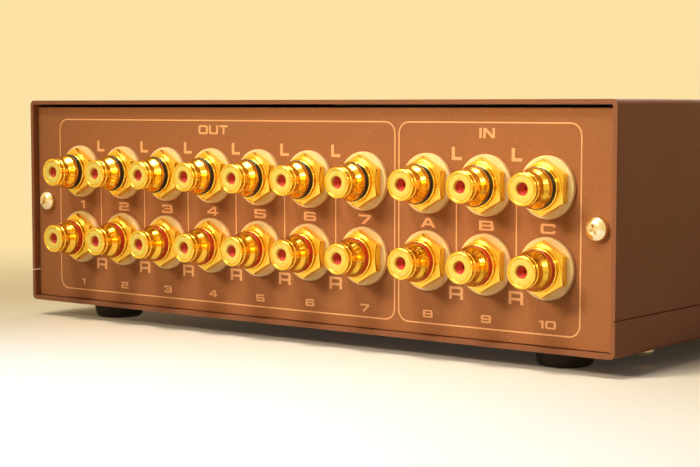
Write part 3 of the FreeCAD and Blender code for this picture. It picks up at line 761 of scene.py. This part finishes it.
def rearInk(values):
    # drawn as seen from behind: across runs to the right from the middle of the case
    bm = bmesh.new()
    half = (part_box("top_cover")[1].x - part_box("top_cover")[0].x) / 2 / mm
    thick = values["ink"] + inkSink
    line = values["line"]
    for first, last in values["frames"]:
        left, right = half - last, half - first
        outer = box(left, values["frameLow"], right, values["frameTop"], values["corner"])
        inner = box(left + line, values["frameLow"] + line, right - line,
                    values["frameTop"] - line, values["corner"] - line)
        cutInk(bm, [outer, inner], thick)
    for divider in values["dividers"]:
        across = half - divider
        left, right = across - line / 2, across + line / 2
        cutInk(bm, [box(left, values["dividerLow"], right, values["dividerTop"])], thick)
        writeWord(bm, "L", across, values["leftLow"], values["sideHigh"], thick)
        writeWord(bm, "R", across, values["rightLow"], values["sideHigh"], thick)
    for word, across, low in values["words"]:
        writeWord(bm, word, half - across, low, values["wordHigh"], thick)
    columns = sorted({round(-place.x / mm, 3) for place in socketPlaces()})
    for number, (across, sign) in enumerate(zip(columns, "1234567ABC"), start=1):
        writeWord(bm, sign, across, values["digitLow"], values["digitHigh"], thick,
                  values["digitWide"])
        writeWord(bm, str(number), across, values["smallLow"], values["smallHigh"], thick,
                  values["smallWide"])
    return bm


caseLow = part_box("bottom_tray")[0].z
rearTurn = Matrix(((-1, 0, 0, 0), (0, 0, 1, rearFace - inkSink * mm), (0, 1, 0, caseLow),
                   (0, 0, 0, 1)))
makePiece("rear_print", gather(rearInk(rearPrint), [rearTurn]), finishes["printInk"], "case")

frontPrint = {
    "ink": 0.04,
    "signRadius": 19.5,  # from the shaft to the middle of each letter or digit
    "signHigh": 2.3,
    "tick": (0.36, 1.6),  # wide, long
    "tickRadius": 16.4,  # from the shaft to the near end of each tick
    "wordHigh": 2.6,
    "wordBelow": 24.0,
    "dials": (("input", "ABC", (30, 0, -30), "IN"),
              ("output", "1234567", (90, 60, 30, 0, -30, -60, -90), "OUT")),
}


def frontInk(values):
    bm = bmesh.new()
    thick = values["ink"] + inkSink
    for group, signs, angles, word in values["dials"]:
        low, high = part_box(group + "_knob")
        x, z = (low.x + high.x) / 2 / mm, (low.z + high.z) / 2 / mm
        for sign, angle in zip(signs, angles):
            side, up = -math.sin(math.radians(angle)), math.cos(math.radians(angle))
            radius, tall = values["signRadius"], values["signHigh"]
            writeWord(bm, sign, x + side * radius, z + up * radius - tall / 2, tall, thick)
            before = len(bm.verts)
            wide, long = values["tick"]
            near = values["tickRadius"]
            cutInk(bm, [box(-wide / 2, near, wide / 2, near + long)], thick)
            bm.verts.ensure_lookup_table()
            shaft = Matrix.Translation((x * mm, z * mm, 0))
            turn = shaft @ Matrix.Rotation(math.radians(angle), 4, "Z")
            bmesh.ops.transform(bm, matrix=turn, verts=bm.verts[before:])
        writeWord(bm, word, x, z - values["wordBelow"], values["wordHigh"], thick)
    return bm


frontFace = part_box("front_panel")[0].y
frontTurn = Matrix(((1, 0, 0, 0), (0, 0, -1, frontFace + inkSink * mm), (0, 1, 0, 0),
                    (0, 0, 0, 1)))
makePiece("front_print", gather(frontInk(frontPrint), [frontTurn]), finishes["printInk"], "case")
print("print made")


# floor, background and lights: lengths from here on are in metres

stage = {
    "floor": (0.97, 0.97, 0.95),
    "edge": (0.96, 0.78, 0.46),  # colour of the floor outside a pool of light painted into its colour
    # middle, start and end of the fall-off of that painted pool of light
    "paintedPoolMiddle": (-0.04, 0.26, 0.0),
    "paintedPoolFrom": 0.10,
    "paintedPoolTo": 0.30,
    "glow": 0.03,  # share of the floor that shows its own colour in any light
    "background": (0.98, 0.76, 0.38),
    "reach": 6.0,
    "rimSteps": 96,
    "fadeMiddle": (-0.10, 0.16, 0.0),  # from here the floor fades into the background
    "fadeFrom": 0.15,
    "fadeTo": 0.50,
    "ambient": (1.0, 0.94, 0.96),
    "ambientStrength": 0.10,
    "bounce": 0.40,  # share of the light on the floor that it gives back to the object
}


def awayFrom(m, middle, start, end):
    # 0 within start of a place on the floor, 1 past end
    away = m.node("ShaderNodeVectorMath", {"operation": "LENGTH"}, {0: m.spot(middle)}, out="Value")
    return m.node("ShaderNodeMapRange", {"interpolation_type": "SMOOTHSTEP"},
                  {"Value": away, "From Min": start, "From Max": end})


def makeFloor(values):
    bm = bmesh.new()
    bmesh.ops.create_circle(bm, cap_ends=True, segments=values["rimSteps"], radius=values["reach"])
    mesh = bpy.data.meshes.new("floor")
    bm.to_mesh(mesh)
    bm.free()
    floor = bpy.data.objects.new("floor", mesh)
    bpy.context.scene.collection.objects.link(floor)
    m = Shader("floorCard")
    fade = awayFrom(m, values["fadeMiddle"], values["fadeFrom"], values["fadeTo"])
    # painted pool of light: the floor's colour darkens from pale to the edge colour away from its
    # middle
    edge = awayFrom(m, values["paintedPoolMiddle"], values["paintedPoolFrom"], values["paintedPoolTo"])
    paintedPoolTone = m.blend(edge, shade(values["floor"]), shade(values["edge"]))
    seen = m.node("ShaderNodeLightPath", out="Is Camera Ray")
    glossy = m.node("ShaderNodeLightPath", out="Is Glossy Ray")
    dull = m.node("ShaderNodeBsdfDiffuse", {}, {"Color": shade(values["floor"], values["bounce"])})
    lit = m.node("ShaderNodeBsdfDiffuse", {}, {"Color": paintedPoolTone})
    own = m.node("ShaderNodeEmission", {}, {"Color": paintedPoolTone, "Strength": 1.0})
    bright = m.node("ShaderNodeMixShader", {}, {0: values["glow"], 1: lit, 2: own})
    near = m.node("ShaderNodeMixShader", {}, {0: seen + glossy, 1: dull, 2: bright})
    far = m.node("ShaderNodeEmission", {}, {"Color": shade(values["background"]), "Strength": 1.0})
    mixed = m.node("ShaderNodeMixShader", {}, {0: fade, 1: near, 2: far})
    m.node("ShaderNodeOutputMaterial", {}, {"Surface": mixed})
    mesh.materials.append(m.material)


def makeWorld(values):
    world = bpy.data.worlds.new("world")
    world.use_nodes = True
    bpy.context.scene.world = world
    m = Shader("world", world.node_tree)
    seen = m.node("ShaderNodeLightPath", out="Is Camera Ray")
    glossy = m.node("ShaderNodeLightPath", out="Is Glossy Ray")
    back = m.node("ShaderNodeBackground", {},
                  {"Color": shade(values["background"]), "Strength": 1.0})
    light = m.node("ShaderNodeBackground", {},
                   {"Color": shade(values["ambient"]), "Strength": values["ambientStrength"]})
    mixed = m.node("ShaderNodeMixShader", {}, {0: seen + glossy, 1: light, 2: back})
    m.node("ShaderNodeOutputWorld", {}, {"Surface": mixed})


makeFloor(stage)
makeWorld(stage)

# spread is the angle of a lamp's cone in degrees, and a glossOnly lamp shows in polish alone
lamps = {
    "key": {"place": (0.30, 0.78, 0.52), "aim": (-0.085, 0.075, 0.11), "size": (0.30, 0.30),
            "power": 0.23, "colour": (1.0, 0.90, 0.72), "spread": 21},
    "fill": {"place": (0.03, 0.62, 0.93), "aim": (-0.03, 0.29, 0.0), "size": (0.30, 0.30),
             "power": 0.72, "colour": (1.0, 0.97, 0.90), "spread": 38},
    "beyond": {"place": (0.14, -0.95, 0.45), "aim": (0.0, 0.0, 0.03), "size": (0.30, 0.30),
               "power": 4.0, "colour": (1.0, 0.95, 0.86), "spread": 180},
    "overhead": {"place": (0.0, -0.06, 0.75), "aim": (0.0, 0.0, 0.03), "size": (0.42, 0.22),
                 "power": 6.0, "colour": (1.0, 0.96, 0.90), "spread": 180, "glossOnly": True},
    "glint": {"place": (-0.90, 0.0, 0.55), "aim": (0.0, 0.05, 0.03), "size": (0.16, 0.16),
              "power": 2.0, "colour": (1.0, 0.96, 0.90), "spread": 180, "glossOnly": True},
}


def makeLamp(name, values):
    data = bpy.data.lights.new(name, "AREA")
    data.shape = "RECTANGLE"
    data.size, data.size_y = values["size"]
    data.energy = values["power"]
    data.color = values["colour"]
    data.spread = math.radians(values["spread"])
    lamp = bpy.data.objects.new(name, data)
    bpy.context.scene.collection.objects.link(lamp)
    lamp.location = values["place"]
    toward = Vector(values["aim"]) - Vector(values["place"])
    lamp.rotation_euler = toward.to_track_quat("-Z", "Y").to_euler()
    lamp.visible_diffuse = not values.get("glossOnly", False)


for name, values in lamps.items():
    makeLamp(name, values)
print("stage lit")
